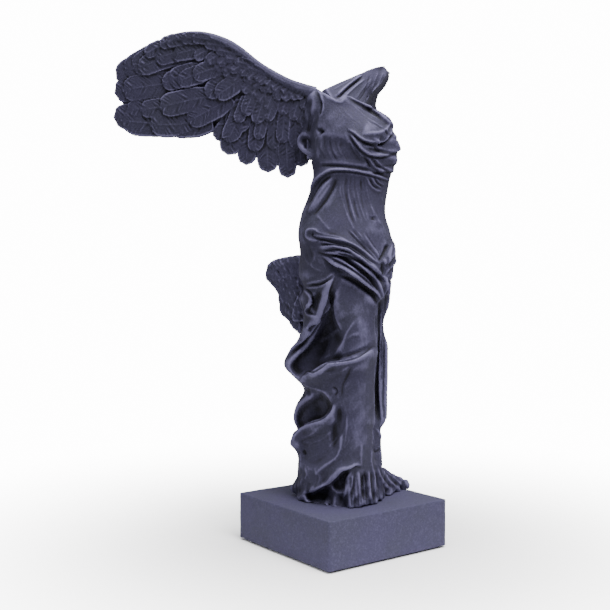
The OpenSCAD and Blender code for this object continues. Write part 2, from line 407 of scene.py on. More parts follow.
class Drawing:
    # Folds are drawn in mm as seen from one side: across from the figure's axis, and up from the floor
    def __init__(self, obj, turn, eye=None, fade=(0.05, 0.3)):
        self.obj = obj
        self.points = readPoints(obj)
        self.edges = readEdges(obj)
        self.across, self.toEye, _ = viewAxes(turn)
        self.eye = self.toEye * 3000 + np.array([0, 0, 150]) if eye is None else eye
        self.fade = fade
        self.refresh()

    def refresh(self):
        self.normals = soften(readNormals(self.obj), self.edges, 3)
        self.normals /= np.maximum(np.linalg.norm(self.normals, axis=1), 1e-6)[:, None]
        sight = self.points - self.eye
        share = -(self.eye @ self.toEye) / (sight @ self.toEye)
        flat = self.eye + sight * share[:, None]
        self.spots = np.stack([flat @ self.across, flat[:, 2]], axis=1)
        self.sight = sight / np.linalg.norm(sight, axis=1)[:, None]
        facing = -(self.normals * self.sight).sum(axis=1)
        low, high = self.fade
        t = np.clip((facing - low) / (high - low), 0, 1)
        self.weight = t * t * (3 - 2 * t)
        self.rise = np.zeros(len(self.points))
        self.sink = np.zeros(len(self.points))

    def near(self, line, reach):
        low = line.min(axis=0) - reach
        high = line.max(axis=0) + reach
        inside = ((self.spots > low) & (self.spots < high)).all(axis=1) & (self.weight > 0)
        return np.nonzero(inside)[0]

    def stroke(self, width, height, points, side=""):
        line = smoothLine(points)
        reach = width * (3.4 if side else 2.6)
        rows = self.near(line, reach)
        if not len(rows):
            return
        dist, travelled, total = nearLine(self.spots[rows], line)
        if side:
            step = line[-1] - line[0]
            leftHand = np.array([-step[1], step[0]])
            if leftHand @ np.array(compass[side]) < 0:
                dist = -dist
        x = dist / width
        if side:
            shape = np.where(x < 0, np.exp(-0.9 * np.abs(x) ** 1.4), np.exp(-(2.4 * x) ** 2))
            shape -= 0.6 * np.exp(-((x - 0.95) / 0.45) ** 2)
        else:
            shape = np.exp(-np.abs(x) ** 1.5)
        ends = np.clip(np.minimum(travelled, total - travelled) / (total * strokeTaper), 0, 1)
        self.rise[rows] += height * shape * (0.15 + 0.85 * np.sin(ends * math.pi / 2)) * self.weight[rows]

    def strokes(self, table):
        for fold in table:
            self.stroke(*fold)

    def fan(self, width, height, first, last, count, uneven, seed):
        draw = random.Random(seed)
        first = np.array(first, dtype=float)
        last = np.array(last, dtype=float)
        for k in range(count):
            share = (k + uneven * draw.uniform(-1, 1)) / max(1, count - 1)
            line = first + (last - first) * share
            cut = draw.uniform(0, 0.25)
            line[0] += (line[1] - line[0]) * cut
            self.stroke(width * draw.uniform(0.8, 1.25), height * draw.uniform(0.6, 1.25), line)

    def hollow(self, outline, depth, soft):
        ring = smoothLine(list(outline) + [outline[0]], 4)
        rows = self.near(ring, soft * 1.5)
        spots = self.spots[rows]
        dist, _, _ = nearLine(spots, ring)
        x0, y0 = ring[:-1, 0], ring[:-1, 1]
        x1, y1 = ring[1:, 0], ring[1:, 1]
        px, py = spots[:, :1], spots[:, 1:]
        crossing = ((y0 > py) != (y1 > py)) & (px < (x1 - x0) * (py - y0) / (y1 - y0 + 1e-9) + x0)
        inside = crossing.sum(axis=1) % 2 == 1
        t = np.clip((np.where(inside, 1, -1) * np.abs(dist) + 0.35 * soft) / (1.35 * soft), 0, 1)
        self.sink[rows] += depth * t * t * (3 - 2 * t) * self.weight[rows]

    def press(self, rounds=1):
        rise = soften(self.rise, self.edges, rounds) if rounds else self.rise
        sink = soften(self.sink, self.edges, rounds) if rounds else self.sink
        self.points = self.points + self.normals * rise[:, None] + self.sight * sink[:, None]
        writePoints(self.obj, self.points)
        self.refresh()


def onPlane(across, height, depth=0.0):
    # A place drawn from the camera's side, set depth mm in front of the figure's axis
    sideways, toEye, _ = viewAxes(shot["turn"])
    target = sideways * across + np.array([0, 0, height])
    sight = target - eyePoint
    share = (depth - eyePoint @ toEye) / (sight @ toEye)
    return eyePoint + sight * share


# the draped figure

figure = {
    "coarseGrain": 1.1,     # voxel, mm
    "fineGrain": 0.62,
    "triangles": 194000,
    "foot": 29.02,          # just above the plinth
    "leftTurn": 52,         # degrees to the left, where the left front is drawn from
    "sideTurn": 95,         # and the left side
    "hemTop": 46,           # the hem grows rough over hemFade mm downwards from this height
    "hemFade": 14,
    "hemRough": 0.75,
    "neckPress": 0.92,      # how far what stands above neckLine is pressed down to it
}

# Deep hollows of the wind-blown mantle beside the right leg, seen from the front right
sideHollows = [
    # depth, softness, outline
    (10.0, 3.2, [(-7, 153), (-9, 140), (-13, 132), (-20, 122), (-28.5, 114), (-31, 107), (-26, 101.5),
                 (-17, 104.5), (-8, 109), (0, 112.5), (-2, 118), (1, 124), (-1, 131), (-3, 140),
                 (-4, 150)]),
    (6.5, 3.2, [(-12, 92.5), (-6, 87), (-5.5, 81), (-10, 76), (-15, 73.5), (-21, 71), (-26, 69.5),
                (-28, 75), (-26, 82), (-21, 87)]),
    (3.5, 2.0, [(-4, 76), (-2.5, 82), (-0.5, 83), (1.5, 80), (1, 72), (-1, 63), (-5, 57), (-6, 68)]),
    (3.0, 4.0, [(-27, 64), (-12, 71), (-3, 74), (-2, 62), (-8, 52), (-16, 46), (-24, 50)]),
    (7.0, 1.8, [(-6.5, 36), (-1, 42.5), (4.5, 44), (4, 38), (1, 31.5), (-4, 32.5)]),
    (5.0, 2.0, [(-22, 29.5), (-20, 26.5), (-12, 25.5), (-6, 27), (-8, 30.5), (-15, 31)]),
    (4.4, 2.2, [(-21, 32), (-20, 26), (-12, 22), (-2, 20), (4, 20), (3, 28), (-2, 32), (-10, 34)]),
    (5.0, 1.8, [(-17, 150), (-17, 144), (-14, 140.5), (-11.5, 145), (-10.5, 151), (-13, 154)]),
    (1.6, 3.5, [(-12, 247), (0, 246), (9, 240), (16, 234), (30, 234), (32, 231), (20, 230.5), (0, 231.5),
                (-13, 233)]),
    (2.0, 2.2, [(4, 271), (10, 268), (17, 264), (24, 259.5), (22, 258.5), (13, 262), (5, 267)]),
]

# Channel between the right leg and the bunched mantle, and other broad shapes
broadStrokes = [
    (1.3, -7.5, [(24.6, 148), (24.6, 134), (24.4, 120), (23.4, 108), (22.4, 98), (22.2, 86), (22.8, 74)]),
    (1.4, -5.5, [(14.6, 42), (14.8, 34), (15.4, 27)]),
    (7.5, 2.6, [(9, 150), (11, 130), (11.5, 110), (11, 90), (10.5, 70), (10.5, 50)]),
    (4.5, 1.6, [(-6, 161), (-2, 148), (2, 136)]),
    (3.0, 3.0, [(19, 117.4), (14, 115.3), (8, 112), (0, 110.2), (-8, 109), (-15, 104.6), (-24, 100)], "u"),
    (3.2, 3.4, [(-4, 163), (-8, 155), (-10.5, 147), (-14, 138), (-19, 130), (-25, 123), (-32, 115)], "r"),
    (2.6, 2.8, [(-4, 84), (-8, 78), (-14, 74), (-21, 71.3), (-27, 67), (-31, 62)], "u"),
    (2.4, 2.6, [(11, 49), (5, 46), (0, 44.8), (-4, 41), (-8, 37), (-13, 33.8), (-20, 31.5)], "d"),
    (3.0, 2.4, [(-10, 176), (-4, 171.5), (3, 167.5), (9, 163), (15, 158.5), (21, 153.5), (24.5, 148)], "d"),
    (4.0, 2.4, [(-14, 183), (0, 179), (10, 174), (19, 167), (26, 158), (27.5, 149)]),
    (6.0, 1.8, [(12, 252), (20, 249), (27, 247)]),
    (3.0, 1.6, [(-20, 213), (-15, 221), (-6, 226), (10, 226), (28, 221)]),
]

# Folds seen from the front right: width, height, line, and the side where the fold drops sharply
torsoFolds = [
    (1.0, 1.1, [(2, 274), (8, 269.8), (14, 266), (19, 263), (24.5, 259), (28, 255), (27, 251.8),
                (23, 249.6), (17, 249), (13, 248.6)]),
    (1.3, -1.5, [(3, 271.5), (9, 268), (15, 264.6), (21, 260.6), (25, 256.6)]),
    (1.3, 1.5, [(30.5, 252), (29, 248), (25, 244.6), (19, 243.8), (13, 245.2), (8, 248.6),
                (4, 251.5)], "d"),
    (0.8, -1.4, [(12.5, 243.6), (17, 242), (22, 241.8), (26, 243)]),
    (1.4, 1.8, [(5, 249), (10, 242), (15, 237.4), (20, 235.8), (26, 235.6), (30, 237)], "d"),
    (0.8, -1.0, [(16, 239.6), (20, 238.9), (24, 237.9)]),
    (0.8, 0.8, [(29, 257), (31, 250), (32.5, 244)]),
    (0.7, -1.7, [(-14.6, 252), (-12.6, 250), (-10.6, 250.6)]),
    (0.6, -1.4, [(-13.4, 248), (-12.4, 250.4), (-12.6, 252.6)]),
    (3.0, 1.0, [(-16.5, 275), (-17, 266), (-18.4, 258), (-20, 251)], "r"),
    (0.9, -1.6, [(-12.6, 269), (-12.4, 265), (-13.4, 260)]),
    (0.8, 0.9, [(-14.4, 275), (-12, 270), (-11.4, 264), (-13, 259)]),
    (0.6, -0.6, [(-18, 262), (-19.4, 255), (-21, 249)]),
    (0.6, 0.5, [(-16, 260), (-17.4, 254), (-18.6, 249)]),
    (0.9, 0.7, [(-11, 273), (-6, 269.5), (-1, 267.6), (2, 270)]),
    (0.8, -0.7, [(13, 235), (16, 231.5), (19, 228.6)]),
    (1.0, 0.9, [(16, 234), (19, 229.5), (25, 225.4)], "d"),
    (1.1, 1.0, [(19, 235), (23, 230), (30, 226.5)], "d"),
    (1.0, -1.8, [(-13, 229.5), (-4, 229.6), (4, 229), (12, 227.8), (20, 225.8), (29, 222)]),
    (1.1, 1.5, [(-20, 212), (-17.5, 217.5), (-13, 222.8), (-6, 226.6), (4, 226.8), (12, 225.7),
                (20, 223.7), (29.5, 220.4)], "d"),
    (1.6, 1.6, [(-5, 223.5), (-12, 213.5), (-20, 200.5)]),
    (1.2, -1.9, [(-6, 223.6), (-13, 219), (-17.5, 212.5), (-22, 205)]),
    (1.3, -1.9, [(-3, 221.5), (-9, 210.5), (-14, 204.4), (-20, 198)]),
    (0.7, 0.9, [(15, 223), (17, 218), (20.5, 215), (24.5, 214)]),
    (0.7, 0.8, [(18, 223), (20, 219), (24, 216)]),
    (0.6, 0.7, [(21, 222), (22.5, 219.5), (25.5, 218)]),
    (0.5, -0.8, [(16.8, 222), (19, 217.5), (22.5, 215.6)]),
    (0.5, -0.8, [(20, 222), (21.6, 219), (24.5, 217.2)]),
    (0.7, 0.45, [(3, 202), (6, 195), (8, 190)]),
    (0.7, -0.7, [(7.5, 210), (8.5, 203), (11, 197)]),
    (0.7, -0.6, [(11.5, 222), (12, 211), (14, 202)]),
    (0.7, -0.6, [(3.5, 222), (3.2, 212), (5, 202), (8, 194)]),
    (0.9, 0.4, [(17, 206), (20.5, 200), (24, 194)]),
    (0.9, 0.4, [(24, 212), (25, 204), (26, 196)]),
    (1.6, -1.0, [(19.4, 199), (19.2, 196.6)]),
    (1.0, 0.4, [(-15, 200), (-10, 194), (-6, 190)]),
]

mantleFolds = [
    (0.9, 1.3, [(-14, 184.4), (-18, 184.8), (-21, 187), (-20.4, 190.4), (-16.6, 191), (-13, 189)]),
    (0.7, -1.5, [(-18.4, 188.4), (-17, 188)]),
    (1.1, 1.6, [(-18, 188.4), (-15, 187), (-8, 185.6), (0, 184), (7, 181.6), (13, 177.5), (18, 173.4),
                (22.5, 170.6)], "d"),
    (0.7, 0.9, [(-14, 189.4), (-8, 187.6), (-2, 186.2), (4, 184)]),
    (0.5, -1.0, [(-15, 185.4), (-8, 184.2), (-1, 182.6), (6, 179.6), (12, 175.4)]),
    (0.7, -1.9, [(-14, 181.6), (-8, 182.2), (-3, 181.8), (3, 180.4)]),
    (0.9, 1.0, [(-13, 180), (-4, 180.2), (3, 179.4), (8, 178)]),
    (0.6, -1.8, [(-12, 178), (-6, 178.6), (0, 178.2), (6, 176.8)]),
    (1.2, 1.2, [(-6, 177.2), (3, 176.8), (10, 174), (15, 171), (20, 167.4), (24, 163.6), (27, 159.6),
                (28, 154)], "d"),
    (0.8, -2.4, [(-14, 177), (-8, 175.2), (0, 174.2), (8, 172.4), (15, 168.8), (21, 164.4), (26, 159.6)]),
    (1.1, -2.2, [(-1, 163.6), (6, 160.6), (13, 156.6), (19, 151.6), (22.4, 146)]),
    (0.45, -1.3, [(-2, 169), (2, 167), (6, 164.4)]),
    (1.0, -3.0, [(0.5, 173.6), (6, 170.4), (11, 166.6), (16, 162.8), (20, 158.4), (24, 152.4)]),
    (1.0, 1.2, [(3, 174.4), (9, 171), (14.5, 166.6), (19.4, 162.2), (23, 157), (25.6, 150)], "d"),
    (0.8, -1.3, [(9, 173.4), (15, 169), (20, 164.6), (24.6, 159), (26.4, 152)]),
    (1.0, 1.7, [(-11, 174.4), (-5, 171), (2, 167.4), (8, 163.4), (14, 159), (20, 154), (24, 149)], "d"),
    (0.7, 0.9, [(-9, 176), (-3, 172.8), (4, 169.2), (10, 165), (16, 160.4), (21.4, 155)], "d"),
    (0.55, -1.3, [(-8, 174.4), (0, 170.2), (7, 166.2), (13, 161.8), (19, 156.6), (23, 151)]),
    (0.5, -1.0, [(-5, 176), (3, 172), (10, 167.8), (16, 162.8), (21, 157.4)]),
    (0.7, 0.6, [(-3, 169), (4, 165.4), (9, 161.6)]),
    (0.9, -0.9, [(3, 190.5), (8, 185.6), (14, 180), (20.5, 172.6)]),
    (0.9, -0.9, [(6.5, 191), (12, 184), (17.6, 178.4), (22.6, 173)]),
    (0.8, 0.6, [(4.6, 191), (10, 185), (16, 179), (21.6, 173.4)]),
    (0.8, 0.5, [(9, 191), (14.6, 183), (20, 177.4), (23.4, 174.4)]),
    (0.6, 0.4, [(13, 188), (17.5, 181.6), (23, 176)]),
    (1.3, -2.6, [(28.4, 182), (26.4, 177), (23.4, 171.4)]),
    (1.1, 1.2, [(30.4, 183), (28.6, 175), (27.6, 168), (28, 161)]),
    (0.9, 0.9, [(25.6, 175), (25.8, 168.6), (27, 162)]),
    (0.9, -1.4, [(24.4, 171.6), (25, 166), (24, 162)]),
    (0.8, 0.8, [(30.6, 172), (29.4, 165), (29.2, 157), (28.4, 146), (27, 137)]),
    (0.8, -1.0, [(27.2, 158), (27, 148), (25.6, 139)]),
    (1.0, 0.4, [(-19, 183), (-16, 176), (-18, 170)]),
    (0.9, 0.35, [(-24, 178), (-21, 172), (-15, 167), (-9, 165.6)]),
    (1.2, 1.1, [(-22, 158), (-15, 159.2), (-9, 161), (-4.6, 165)]),
    (1.0, -1.4, [(-20, 157.8), (-13, 158), (-7.6, 160.6), (-5, 163)]),
    (1.0, 1.0, [(-23, 155.8), (-15, 156.2), (-9, 158.4), (-5.4, 162)]),
    (1.2, 1.3, [(-23, 155.4), (-19.4, 151.6), (-18.2, 147), (-21, 142.4), (-19.6, 139.4), (-15, 138)], "r"),
    (0.9, 0.7, [(-25, 153), (-24.4, 146), (-22.6, 138), (-23, 129)]),
    (0.8, 0.8, [(-14, 137), (-18.6, 131), (-23.6, 125)]),
]

legFolds = [
    (1.4, 1.5, [(-4.4, 163), (-8, 155), (-10.4, 147), (-13.4, 138), (-18, 130.4), (-24, 123.6), (-29, 119),
                (-33, 114)], "r"),
    (1.1, 0.9, [(-11.6, 139), (-15, 131), (-20, 123), (-26, 116.6), (-30.4, 110)]),
    (0.8, -0.8, [(-12.6, 138.4), (-16.4, 130.6), (-22, 123.2), (-28, 117)]),
    (1.0, 0.9, [(-4, 150), (-3.4, 140), (-0.6, 132), (0, 130)], "l"),
    (1.0, 0.6, [(-1, 131), (-6, 127.4), (-13, 123)]),
    (1.1, 0.8, [(8, 136), (3.4, 128), (1, 122), (-2.4, 116.6), (-6, 113.8)]),
    (1.2, 0.5, [(11, 128), (6, 127), (3.4, 124)]),
    (1.2, 1.4, [(19.5, 119), (15, 115.6), (8.6, 111.8), (0, 110.2), (-7, 109.2), (-12, 106), (-17, 103.4),
                (-20.6, 103.8), (-24.6, 99.6)], "u"),
    (0.8, 0.8, [(12, 116.4), (5, 113.4), (-2, 112), (-9, 109.8), (-13, 106.6)]),
    (0.8, 0.7, [(11, 113.4), (4, 110.6), (-4.6, 109), (-9, 106.4), (-14, 103)]),
    (0.9, -0.7, [(8, 113.2), (0, 111.4), (-7, 109.9)]),
    (1.1, -0.8, [(6.4, 108.4), (3.4, 102), (0.6, 96), (0, 89)]),
    (1.2, 0.5, [(5, 108), (-2, 104.6), (-9, 103)]),
    (0.6, -1.1, [(-6, 95.4), (-3.6, 94.6), (-2.8, 92.4), (-4.2, 90)]),
    (0.9, 0.8, [(-24, 97.6), (-15, 94.4), (-10, 92.4), (-6, 87.4), (-4.4, 82.6)]),
    (1.0, 0.9, [(-22, 94), (-20.6, 90), (-25.6, 84.6), (-28, 78), (-27.4, 71)]),
    (0.9, 0.6, [(-18, 95), (-17.6, 91), (-20, 88)]),
    (1.2, 1.5, [(-4, 85), (-6.6, 79), (-11, 75.2), (-17, 73), (-22, 71.2), (-27, 67.4), (-31, 62.4)], "u"),
    (1.0, 0.9, [(0, 68), (0, 60), (-2.4, 53.4), (-6, 50), (-11, 46.4), (-16, 42)]),
    (0.8, 0.4, [(-2, 66), (-6, 60), (-12, 55), (-18, 53)]),
    (0.8, 0.35, [(-5, 70), (-10, 65), (-17, 62), (-24, 62)]),
    (0.8, 0.35, [(-14, 70), (-20, 66), (-26, 64)]),
    (0.8, -1.4, [(-23, 57), (-22, 54)]),
    (0.9, 0.5, [(-25, 56), (-24.6, 48), (-26, 41)]),
    (0.8, 0.5, [(-22.6, 46), (-20.6, 42), (-23.4, 38)]),
    (0.8, 0.4, [(-15, 44), (-13, 39), (-16, 35)]),
    (0.6, 0.45, [(3, 79), (3.4, 71), (2.6, 64), (1.4, 58)]),
    (0.5, 0.35, [(5, 64), (3, 60), (1.4, 58)]),
    (0.8, -0.6, [(2.6, 80), (1.4, 72), (-0.6, 65)]),
    (1.2, 1.4, [(12, 47.6), (9, 48), (5, 46), (0.4, 44.8), (-3.6, 41.2), (-8, 37), (-12.6, 34.4),
                (-18, 32), (-22, 30.6)], "d"),
    (0.8, 0.8, [(6.4, 45), (3.6, 38), (3, 32), (1, 26)]),
    (0.9, 1.0, [(10.4, 44), (10.6, 36), (10.6, 27)]),
    (0.7, -1.0, [(8.4, 44), (7.6, 36), (6, 27)]),
    (0.7, 0.7, [(7.6, 42), (6.4, 36), (5, 30)]),
    (0.7, 0.9, [(16.6, 44), (16.6, 36), (17.6, 26.4)]),
    (0.7, 0.8, [(18.6, 58), (18, 50), (20, 40), (19.6, 31)]),
    (0.7, -1.0, [(17.8, 44), (18.6, 36), (19, 28)]),
    (0.7, 0.4, [(12.6, 62), (12, 54), (12.4, 47)]),
    (0.9, 0.8, [(25.2, 132), (25, 120), (24.4, 105), (24.2, 92), (24.8, 80), (23.6, 71)]),
    (0.7, -0.8, [(26.2, 130), (25.6, 116), (25.6, 100), (25.2, 88), (25.8, 77)]),
    (0.8, 0.7, [(27.2, 128), (26.8, 112), (26.8, 96), (26.4, 84), (27, 75)]),
    (0.9, 1.0, [(20, 71), (22.6, 68), (24.6, 62), (24.6, 50)]),
    (0.8, -1.0, [(19, 60), (21, 56), (24, 58)]),
    (0.7, 0.8, [(21.4, 47), (23, 42), (26, 36), (29, 33)]),
    (0.7, 0.8, [(24.6, 44), (28, 39), (33, 34.6)]),
    (0.7, 0.8, [(27, 43.6), (31.6, 39.6), (37, 35)]),
    (0.6, -1.0, [(23, 45), (26, 39.6), (31, 34)]),
    (0.6, -1.0, [(26, 44), (30, 39), (35, 35)]),
    (0.6, -0.9, [(20.6, 44), (21.6, 38), (23.6, 33)]),
]

# Fine creases: width, height, first line, last line, how many, unevenness, seed
fineFans = [
    (0.5, 0.3, [(-14.5, 248), (-15, 241), (-13, 234)], [(8, 245), (11, 238.6), (17, 231.6)], 15, 0.5, 3),
    (0.45, -0.3, [(-13.5, 247), (-14, 240), (-11, 233)], [(7, 243), (10, 237.6), (15, 231.6)], 9, 0.8, 4),
    (0.5, 0.26, [(0, 225), (-1, 214), (2, 203), (5, 194)],
                [(16, 224), (17.5, 214), (20, 205), (23, 197)], 13, 0.6, 5),
    (0.45, -0.28, [(2, 224), (1.4, 213), (3.6, 202), (7, 192)],
                  [(14, 224), (16, 214), (19, 204), (22, 196)], 8, 0.8, 6),
    (0.45, 0.18, [(-4, 266), (4, 258), (12, 252)], [(8, 266.6), (16, 260), (24, 255)], 8, 0.6, 7),
    (0.5, 0.6, [(1, 191), (7, 186), (14, 179), (20, 172.6)],
               [(14, 190), (18, 184), (22, 178), (24.6, 174)], 9, 0.5, 8),
    (0.45, -0.6, [(2, 191), (8, 185), (15, 178.4), (20.6, 173)],
                 [(13, 190), (17, 184), (21, 178), (24, 174)], 6, 0.6, 21),
    (0.55, 0.8, [(-14, 181), (-2, 181), (8, 177.6), (16, 171)],
                [(-9, 173.6), (1, 168), (12, 161), (21, 152)], 9, 0.5, 9),
    (0.5, -0.9, [(-15, 183.4), (-2, 183), (9, 178.4), (18, 171)],
                [(-9, 172), (2, 167), (12, 160.4), (22, 152)], 10, 0.7, 20),
    (0.55, 0.35, [(-14, 152), (-16, 143), (-20, 133), (-28, 121)],
                 [(-7, 152), (-9, 141), (-13, 131), (-22, 120)], 6, 0.6, 10),
    (0.6, 1.3, [(24.2, 148), (24, 124), (23.8, 100), (24.2, 76)],
               [(28.6, 144), (27.6, 122), (27.4, 98), (27.4, 76)], 4, 0.3, 11),
    (0.5, -1.6, [(24.9, 146), (24.7, 124), (24.5, 100), (24.8, 78)],
                [(27.4, 144), (26.8, 122), (26.5, 98), (26.6, 76)], 3, 0.3, 19),
    (0.5, 0.5, [(4, 43), (4.4, 34), (5, 21.5)], [(20.6, 46), (21.6, 37), (23, 23)], 11, 0.5, 12),
    (0.5, -0.7, [(6, 43), (6.4, 33), (7, 22)], [(20, 46), (21, 37), (22, 24)], 7, 0.6, 13),
    (0.5, 0.5, [(20, 52), (23, 43), (27, 35)], [(26, 47), (33, 41.6), (41, 35.4)], 8, 0.4, 14),
    (0.5, 0.2, [(-26, 66), (-16, 69), (-6, 71)], [(-18, 52), (-10, 56), (-3, 62)], 6, 0.6, 15),
    (0.5, 0.3, [(-24, 50), (-23, 42), (-25, 34)], [(-12, 46), (-12, 39), (-14, 33)], 6, 0.6, 16),
    (0.45, 0.14, [(-24, 184), (-22, 176), (-20, 168)], [(-14, 178), (-12, 172), (-10, 166)], 6, 0.6, 17),
    (0.5, 0.35, [(-12, 212), (-16, 205), (-20, 197)], [(-4, 222), (-10, 212), (-18, 199)], 5, 0.5, 18),
]

# Left side, seen from leftTurn degrees to the figure's left
leftHollows = [
    (5.0, 3.0, [(-21, 160), (-18, 160), (-15, 130), (-14, 100), (-15, 72), (-19, 66), (-21, 90),
                (-22, 130)]),
    (4.0, 4.0, [(4, 110), (12, 96), (22, 70), (26, 45), (20, 40), (14, 62), (6, 88)]),
    (2.0, 3.0, [(-22, 246), (-8, 242), (4, 238), (2, 233), (-10, 234), (-22, 236)]),
]
leftFolds = [
    (1.2, 0.7, [(-30, 222), (-20, 224), (-10, 226), (0, 227), (12, 226), (22, 223)], "d"),
    (1.0, -0.7, [(-28, 226), (-16, 228), (-4, 229.6), (10, 229), (22, 226)]),
    (1.8, 0.8, [(-30, 246), (-22, 240), (-12, 237.6), (-2, 240), (8, 246), (14, 254)], "d"),
    (1.6, 0.6, [(-22, 256), (-14, 249), (-6, 247), (4, 250), (10, 258)], "d"),
    (1.4, 0.5, [(-18, 264), (-8, 256), (2, 256), (8, 264)]),
    (1.8, 1.1, [(-26, 168), (-16, 176), (-6, 181), (6, 184), (18, 184), (26, 182)], "d"),
    (1.4, 0.9, [(-25, 163), (-16, 170), (-6, 175), (6, 178), (18, 178), (27, 175)], "d"),
    (1.1, -1.0, [(-24, 166), (-12, 174), (2, 179), (14, 181), (26, 178)]),
    (1.4, 0.9, [(-24, 157), (-14, 164), (-2, 168), (10, 170), (22, 168), (28, 164)], "d"),
]

# Back, seen from behind the figure
backFolds = [
    (1.6, 0.9, [(-30, 176), (-16, 181), (0, 184), (14, 186.4), (26, 188)], "d"),
    (1.4, 0.8, [(-30, 170), (-16, 176), (0, 179), (14, 181), (27, 181)], "d"),
    (1.0, -0.9, [(-28, 173), (-14, 178.6), (2, 181.4), (26, 184)]),
    (1.6, 0.9, [(-28, 160), (-14, 168), (2, 172), (18, 172), (28, 170)], "d"),
    (1.2, 0.8, [(-29, 220.6), (-20, 223.6), (-6, 226.6), (8, 227), (20, 220)], "d"),
    (1.0, -0.8, [(-29, 224), (-14, 228), (4, 229.6), (20, 229)]),
    (2.0, 1.8, [(-26, 60), (-12, 52), (4, 50), (18, 44), (28, 36)], "u"),
    (1.8, 1.2, [(-12, 262), (-9, 250), (-10, 236)]),
    (1.8, 1.2, [(6, 264), (4, 250), (6, 236)]),
]
backFans = [
    (2.1, 1.7, [(-25, 166), (-27, 120), (-25, 70), (-27, 34)],
               [(24, 172), (21, 130), (25, 80), (27, 34)], 8, 0.5, 41),
    (1.0, 0.9, [(-22, 164), (-23, 120), (-22, 70), (-24, 34)],
               [(22, 170), (18, 130), (22, 80), (24, 34)], 11, 0.9, 42),
    (0.8, -1.2, [(-20, 160), (-22, 110), (-20, 70), (-22, 32)],
                [(20, 165), (17, 120), (20, 80), (22, 32)], 9, 0.9, 43),
    (0.8, 0.5, [(-14, 264), (-12, 248), (-16, 232)], [(14, 262), (12, 248), (16, 232)], 10, 0.7, 44),
    (0.7, 0.4, [(-20, 222), (-18, 208), (-22, 190)], [(18, 222), (18, 208), (23, 192)], 12, 0.7, 45),
]

# Left side, seen from sideTurn degrees
sideFans = [
    (1.6, 1.2, [(-14, 170), (-16, 120), (-16, 70), (-18, 34)],
               [(8, 172), (6, 130), (8, 80), (8, 34)], 5, 0.5, 46),
    (0.8, -0.9, [(-12, 166), (-14, 110), (-14, 60), (-16, 34)],
                [(8, 168), (4, 120), (6, 80), (6, 34)], 6, 0.8, 47),
]

# Broad forms set into the figure: centre, radii, turn
figureBalls = [
    (onPlane(-14, 251, -1), (11, 8.5, 17), shot["turn"]),
    ((16, 13, 248), (11, 9, 17), 39),
    ((-8.5, 19.5, 151), (8, 8, 22), 113.5),
    ((-13, 7, 262), (9, 8, 13), 20),
    (onPlane(-15, 268, 3), (5, 5, 7.5), 0),
    (onPlane(-16, 269.4, 6), (5.2, 7, 6.6), shot["turn"]),
    ((17, 6, 256), (10, 9, 12), -20),
    (onPlane(22, 256, 0), (8, 9, 7.5), shot["turn"]),
    ((2, 4, 262), (15, 9, 6), 10),
]

# Rolls of cloth: radii, then places across, up and in front of the figure's axis
clothRolls = [
    ((3.0, 3.2, 3.4, 3.4, 2.6), [(25, 150, -2), (25.2, 132, -2), (25, 112, -3), (24.6, 92, -3),
                                 (24.2, 76, -3)]),
    ((5, 4, 4, 3.4), [(21, 44, -8), (28, 39.4, -14), (35, 37, -18), (40.6, 35, -20)]),
    ((4, 3.4, 2.2), [(21, 39, -2), (29, 34.6, -8), (35.6, 32.4, -13)]),
    ((6, 5, 2.4), [(-20, 42, 2), (-25, 36, 0), (-29, 31.4, -1)]),
    ((1.6, 1.9, 1.9, 1.8, 1.8, 1.7, 1.4), [(-13, 234.6, 15), (-19, 236.4, 10), (-24, 239.6, 5),
                                           (-26, 244, 2), (-24.6, 247.6, 3), (-21, 248.6, 6),
                                           (-17.6, 247, 10)]),
    ((2, 2.6, 3, 3.2, 3.2, 3.2, 3, 2.4), [(-8, 156, 19), (-11, 145, 17), (-15, 135, 13), (-21, 126, 8),
                                          (-27, 119.6, 3), (-31, 113, -1), (-31, 106, -4), (-26, 101, -4)]),
    ((2, 2.4, 2.4, 2.6, 2.8, 2), [(10, 112, 25), (0, 109, 24), (-8, 107.6, 21), (-15, 103.6, 15),
                                  (-20, 101, 10), (-22, 98.6, 6)]),
    ((1.6, 2.2, 2.4, 2.6, 2.4, 2), [(-6, 83, 21), (-10, 76.4, 17), (-17, 72.4, 11), (-23, 69, 5),
                                    (-27.6, 64.6, 0), (-28.6, 61, -2)]),
]


def figureVolumes():
    pieces = [mergedCopy("figure_body", "figureBase")]
    pieces += [ball(*spec) for spec in figureBalls]
    pieces += [rope([onPlane(*place) for place in line], radii) for radii, line in clothRolls]
    return pieces


# Outlines on the picture plane, one point for each tip, notch and turn: (across, height)
rightSideEdge = [(-17.5, 222), (-20.5, 211), (-24.5, 200), (-26.5, 188), (-25, 177), (-26, 164),
                 (-22.5, 156), (-25.5, 149), (-23, 140), (-24.5, 125), (-28, 120), (-34, 114),
                 (-34.5, 107), (-28, 100.5), (-22.5, 94), (-28, 84), (-29, 76), (-27, 69), (-31.5, 61),
                 (-27, 55), (-26.5, 44)]
frontEdge = [(18, 267), (23, 263), (29, 259), (31.5, 251), (36, 239), (34, 231), (29.5, 222), (26.5, 202),
             (29.5, 190), (33, 173), (30.5, 165), (28.5, 145), (25.5, 134), (27.5, 120), (27, 88),
             (27, 74), (24, 70), (25, 50), (27, 44)]
neckLine = [(-40, 274), (-19, 274), (-16.6, 275.6), (-14.6, 275.8), (-12, 274), (-8, 271), (-3, 269),
            (0, 270.6), (2, 273.2), (5, 271.4), (10, 268.4), (18, 265.2), (22, 263.2), (27, 261),
            (30.5, 257.5), (40, 254)]


edgeStep = 1.5      # mm of height between two measures of an edge
edgeFade = 4        # mm of height over which the move fades in and out at the ends of an outline


